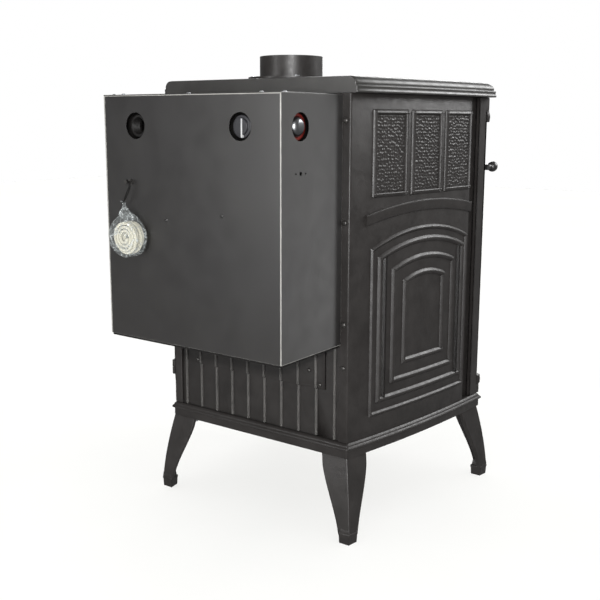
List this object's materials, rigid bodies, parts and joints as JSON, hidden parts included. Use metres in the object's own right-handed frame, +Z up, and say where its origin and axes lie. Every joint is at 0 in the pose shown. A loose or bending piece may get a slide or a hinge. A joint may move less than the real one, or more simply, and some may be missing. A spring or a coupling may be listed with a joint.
{
  "type": "cast iron stove",
  "caption": "Free-standing cast iron boiler stove on splayed legs, with arched side panels, a glazed front door, a side door and a sheet steel jacket over its back boiler",
  "frame": {"origin": "middle of the plan's bounding box, on the floor under the feet", "axes": "+X to the right of someone who faces the front door, +Y to the rear where the jacket is, +Z up; the front door faces -Y"},
  "size_m": [0.628, 0.7652, 0.951],
  "materials": {
    "cast_iron": "fine as-cast texture under matt stove paint",
    "top_iron": "matt stove paint, smoother and slightly lighter",
    "jacket_steel": "satin grey powder coat",
    "black_steel": "black painted steel",
    "bright_steel": "zinc plated steel",
    "black_grip": "black thermoset",
    "glass": "clear glass ceramic",
    "white_rope": "knitted glass fibre rope",
    "clear_bag": "thin clear plastic film",
    "firebrick": "vermiculite board",
    "grey_plastic": "dark grey moulded plastic",
    "red_plastic": "red moulded plastic"
  },
  "bodies": {
    "stove_body": {"base_plate": "cast_iron", "leg_front_left": "cast_iron", "leg_front_right": "cast_iron", "leg_rear_left": "cast_iron", "leg_rear_right": "cast_iron", "left_side_panel": "cast_iron", "right_side_frame": "cast_iron", "rear_panel": "cast_iron", "rear_hatch": "cast_iron", "front_frame": "cast_iron", "flue_collar": "cast_iron", "grate_frame": "cast_iron", "log_guard": "cast_iron", "ash_pit": "cast_iron", "top_plate": "top_iron", "jacket_shell": "jacket_steel", "jacket_lid": "jacket_steel", "jacket_screws": "jacket_steel", "jacket_base": "black_steel", "boiler_tank": "black_steel", "pipe_sockets": "black_steel", "tie_wire": "black_steel", "flange_bolts": "black_steel", "hatch_screws": "black_steel", "leg_bolts": "bright_steel", "tie_rods": "bright_steel", "collar_bolts": "bright_steel", "front_hinge_pins": "bright_steel", "side_hinge_pins": "bright_steel", "bag_hook": "bright_steel", "vent_valves": "bright_steel", "ash_pan": "bright_steel", "spare_rope_coil": "white_rope", "spare_bag": "clear_bag", "side_bricks": "firebrick", "rear_bricks": "firebrick", "baffle": "firebrick", "socket_plug": "grey_plastic", "red_caps": "red_plastic"},
    "front_door": {"front_door": "cast_iron", "door_glass": "glass", "glass_rope": "white_rope", "glass_clips": "bright_steel", "front_door_rope": "white_rope"},
    "front_handle": {"front_handle": "black_steel", "front_grip": "black_grip", "front_latch": "bright_steel"},
    "air_slide": {"air_slide": "cast_iron", "air_knob": "black_grip"},
    "air_rosette": {"air_rosette": "cast_iron"},
    "side_door": {"side_door": "cast_iron", "side_door_rope": "white_rope"},
    "side_handle": {"side_handle": "black_steel", "side_latch": "bright_steel"},
    "riddle_grate": {"grate": "cast_iron", "riddle_rod": "bright_steel"}
  },
  "joints": [
    {"name": "front_door_hinge", "type": "hinge", "parent": "stove_body", "child": "front_door", "pos_m": [-0.277, -0.30965, 0.528], "axis": [0, 0, -1], "range_deg": [0, 100]},
    {"name": "front_handle_turn", "type": "hinge", "parent": "front_door", "child": "front_handle", "pos_m": [0.208, -0.30965, 0.52], "axis": [0, 1, 0], "range_deg": [0, 90]},
    {"name": "air_slide_travel", "type": "slide", "parent": "front_door", "child": "air_slide", "axis": [1, 0, 0], "range_m": [0, 0.04]},
    {"name": "air_rosette_turn", "type": "hinge", "parent": "front_door", "child": "air_rosette", "pos_m": [0, -0.30965, 0.3], "axis": [0, 1, 0], "range_deg": [0, 30]},
    {"name": "side_door_hinge", "type": "hinge", "parent": "stove_body", "child": "side_door", "pos_m": [0.23409, 0.14695, 0.417], "axis": [0, 0, 1], "range_deg": [0, 100]},
    {"name": "side_handle_turn", "type": "hinge", "parent": "side_door", "child": "side_handle", "pos_m": [0.2909, -0.20263, 0.43], "axis": [0.9912, 0.1323, 0], "range_deg": [0, 90]},
    {"name": "grate_riddle", "type": "slide", "parent": "stove_body", "child": "riddle_grate", "axis": [0, -1, 0], "range_m": [0, 0.012]}
  ]
}
